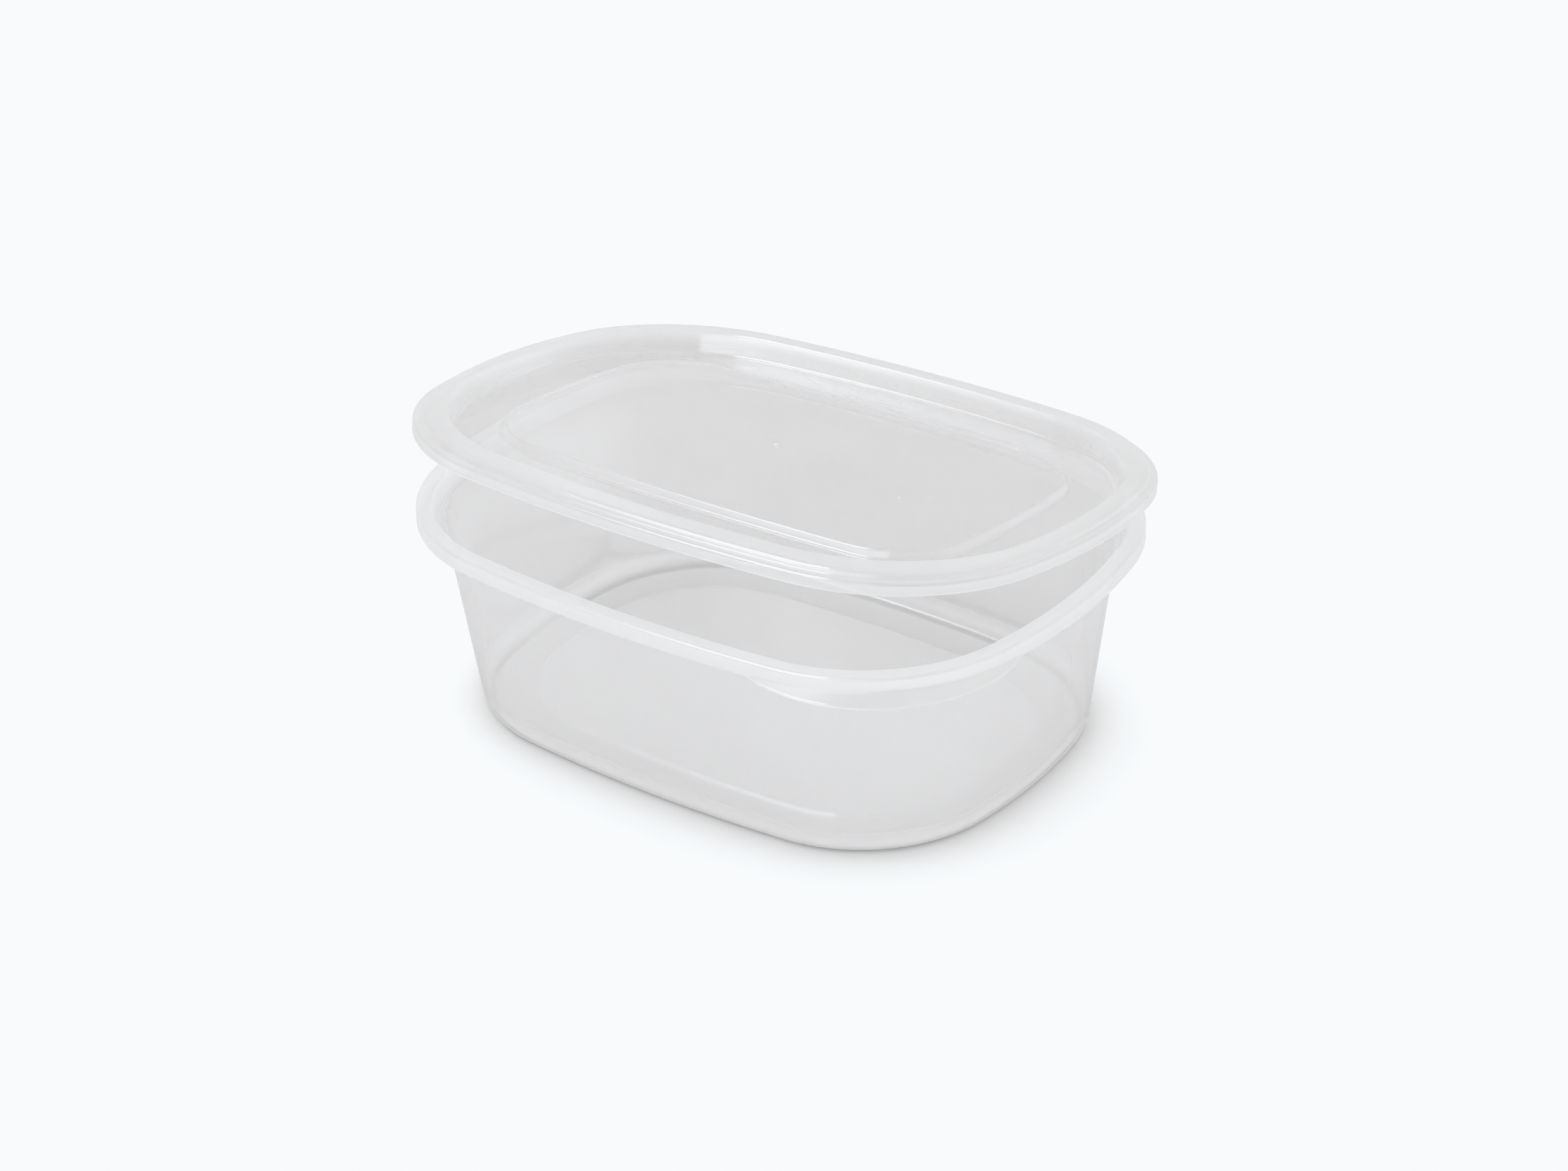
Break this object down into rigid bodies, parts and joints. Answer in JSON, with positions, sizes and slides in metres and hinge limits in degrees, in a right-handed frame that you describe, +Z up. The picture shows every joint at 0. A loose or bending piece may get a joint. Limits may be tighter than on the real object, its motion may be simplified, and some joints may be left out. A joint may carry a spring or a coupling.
{
  "type": "takeaway meal container",
  "caption": "Shallow oblong food tub of thin clear plastic with rounded corners and a flanged rim, its separate lid lying ajar across the back of the rim.",
  "frame": {"origin": "under the middle of tub and lid together, on the surface that the tub stands on", "axes": "+Z up, X along the long sides, the raised front edge of the lid at -Y and the tub's thumb tab at +X, -Y"},
  "size_m": [0.1798, 0.1418, 0.0789],
  "materials": {
    "tub_plastic": "natural polypropylene, milky clear, smooth gloss",
    "lid_plastic": "natural polypropylene, milky clear, smooth gloss"
  },
  "bodies": {
    "root": {"tub": "tub_plastic", "lid": "lid_plastic"}
  },
  "joints": []
}
